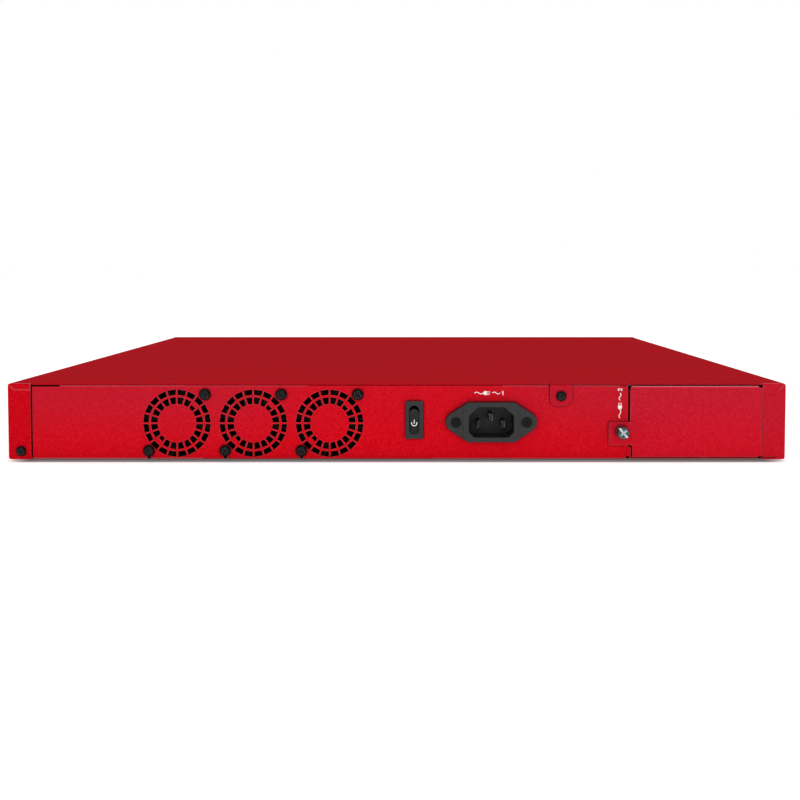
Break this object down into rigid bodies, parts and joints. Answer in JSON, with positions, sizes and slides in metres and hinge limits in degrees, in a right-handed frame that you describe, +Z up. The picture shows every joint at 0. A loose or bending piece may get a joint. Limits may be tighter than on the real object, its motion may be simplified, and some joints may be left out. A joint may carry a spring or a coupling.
{
  "type": "firewall appliance",
  "caption": "One-unit rack network appliance with a sliding top cover, spinning rear fans, a rocker power switch, an inlet and removable bay covers on captive screws.",
  "frame": {"origin": "centre of the overall box, on the plane that the rubber feet stand on", "axes": "+X right and +Y forward, from the rear panel towards the front panel, +Z up"},
  "size_m": [0.44, 0.4785, 0.0444],
  "materials": {
    "red_paint": "fine powder coat",
    "galvanised": "spangled zinc",
    "zinc": "bright zinc plate",
    "black_screw": "black zinc",
    "black_plastic": "moulded, fine grain",
    "grey_plastic": "moulded, satin",
    "rubber": "matt",
    "tin": "tinned",
    "brass": "turned",
    "copper": "enamelled wire",
    "board": "solder mask",
    "aluminium": "extruded",
    "black_metal": "black anodised",
    "chip": "epoxy",
    "capacitor": "printed sleeve",
    "ferrite": "wound ferrite",
    "wire": "insulated wire",
    "nickel": "drawn shell",
    "ink": "screen printed",
    "light": "clear light pipe"
  },
  "bodies": {
    "chassis": {"base_pan": "galvanised", "rear_panel": "red_paint", "front_panel": "red_paint", "rubber_feet": "rubber", "rack_nuts": "zinc", "bay_cage": "galvanised", "bay_connector": "black_plastic", "fan_1_frame": "black_plastic", "fan_2_frame": "black_plastic", "fan_3_frame": "black_plastic", "fan_stators": "copper", "fan_bearings": "brass", "fan_screws": "black_screw", "fan_leads": "wire", "inlet_housing": "grey_plastic", "inlet_pins": "tin", "inlet_screws": "black_screw", "switch_housing": "grey_plastic", "switch_terminals": "tin", "ac_leads": "wire", "supply_tray": "galvanised", "supply_board": "board", "supply_heatsinks": "aluminium", "supply_magnetics": "ferrite", "supply_capacitors": "capacitor", "dc_harness": "wire", "main_board": "board", "board_standoffs": "brass", "board_screws": "zinc", "cpu_package": "tin", "cpu_heatsink": "aluminium", "switch_heatsink": "black_metal", "board_chips": "chip", "board_capacitors": "capacitor", "memory_sockets": "black_plastic", "memory_modules": "board", "storage_module": "board", "coin_cell": "tin", "port_block": "nickel", "console_jack": "black_plastic", "usb_ports": "nickel", "reset_switch": "black_plastic", "status_lights": "light", "expansion_rails": "galvanised"},
    "top_cover": {"top_cover": "red_paint", "cover_screws": "black_screw"},
    "bay_cover": {"bay_cover": "red_paint", "captive_ferrule": "zinc"},
    "captive_washer": {"captive_washer": "zinc"},
    "captive_screw": {"captive_screw": "zinc"},
    "fan_1_rotor": {"fan_1_rotor": "black_plastic"},
    "fan_2_rotor": {"fan_2_rotor": "black_plastic"},
    "fan_3_rotor": {"fan_3_rotor": "black_plastic"},
    "switch_rocker": {"switch_rocker": "black_plastic"},
    "reset_button": {"reset_button": "black_plastic"},
    "expansion_cover": {"expansion_cover": "red_paint"},
    "expansion_washer_left": {"expansion_washer_left": "zinc"},
    "expansion_washer_right": {"expansion_washer_right": "zinc"},
    "expansion_screw_left": {"expansion_screw_left": "zinc"},
    "expansion_screw_right": {"expansion_screw_right": "zinc"}
  },
  "joints": [
    {"name": "top_cover_slide", "type": "slide", "parent": "chassis", "child": "top_cover", "axis": [0, -1, 0], "range_m": [0, 0.47]},
    {"name": "bay_cover_pull", "type": "slide", "parent": "chassis", "child": "bay_cover", "axis": [0, -1, 0], "range_m": [0, 0.05]},
    {"name": "captive_washer_lift", "type": "slide", "parent": "bay_cover", "child": "captive_washer", "axis": [0, -1, 0], "range_m": [0, 0.0042]},
    {"name": "captive_screw_turn", "type": "hinge", "parent": "captive_washer", "child": "captive_screw", "pos_m": [0.1271, -0.235, 0.0172], "axis": [0, -1, 0], "range_deg": [0, 2162]},
    {"name": "fan_1_spin", "type": "hinge", "parent": "chassis", "child": "fan_1_rotor", "pos_m": [-0.1247, -0.2179, 0.022], "axis": [0, 1, 0], "continuous": true},
    {"name": "fan_2_spin", "type": "hinge", "parent": "chassis", "child": "fan_2_rotor", "pos_m": [-0.0814, -0.2179, 0.022], "axis": [0, 1, 0], "continuous": true},
    {"name": "fan_3_spin", "type": "hinge", "parent": "chassis", "child": "fan_3_rotor", "pos_m": [-0.0381, -0.2179, 0.022], "axis": [0, 1, 0], "continuous": true},
    {"name": "switch_rock", "type": "hinge", "parent": "chassis", "child": "switch_rocker", "pos_m": [0.0099, -0.2249, 0.0236], "axis": [-1, 0, 0], "range_deg": [0, 16]},
    {"name": "reset_press", "type": "slide", "parent": "chassis", "child": "reset_button", "axis": [0, -1, 0], "range_m": [0, 0.0012], "stiffness_N_per_m": 400},
    {"name": "expansion_cover_pull", "type": "slide", "parent": "chassis", "child": "expansion_cover", "axis": [0, 1, 0], "range_m": [0, 0.05]},
    {"name": "expansion_washer_left_lift", "type": "slide", "parent": "expansion_cover", "child": "expansion_washer_left", "axis": [0, 1, 0], "range_m": [0, 0.0042]},
    {"name": "expansion_screw_left_turn", "type": "hinge", "parent": "expansion_washer_left", "child": "expansion_screw_left", "pos_m": [-0.201, 0.235, 0.0227], "axis": [0, 1, 0], "range_deg": [0, 2162]},
    {"name": "expansion_washer_right_lift", "type": "slide", "parent": "expansion_cover", "child": "expansion_washer_right", "axis": [0, 1, 0], "range_m": [0, 0.0042]},
    {"name": "expansion_screw_right_turn", "type": "hinge", "parent": "expansion_washer_right", "child": "expansion_screw_right", "pos_m": [-0.107, 0.235, 0.0227], "axis": [0, 1, 0], "range_deg": [0, 2162]}
  ],
  "couplings": [
    {"joint": "captive_screw_turn", "follows": "captive_washer_lift", "rad_per_m": 8976},
    {"joint": "expansion_screw_left_turn", "follows": "expansion_washer_left_lift", "rad_per_m": 8976},
    {"joint": "expansion_screw_right_turn", "follows": "expansion_washer_right_lift", "rad_per_m": 8976}
  ]
}
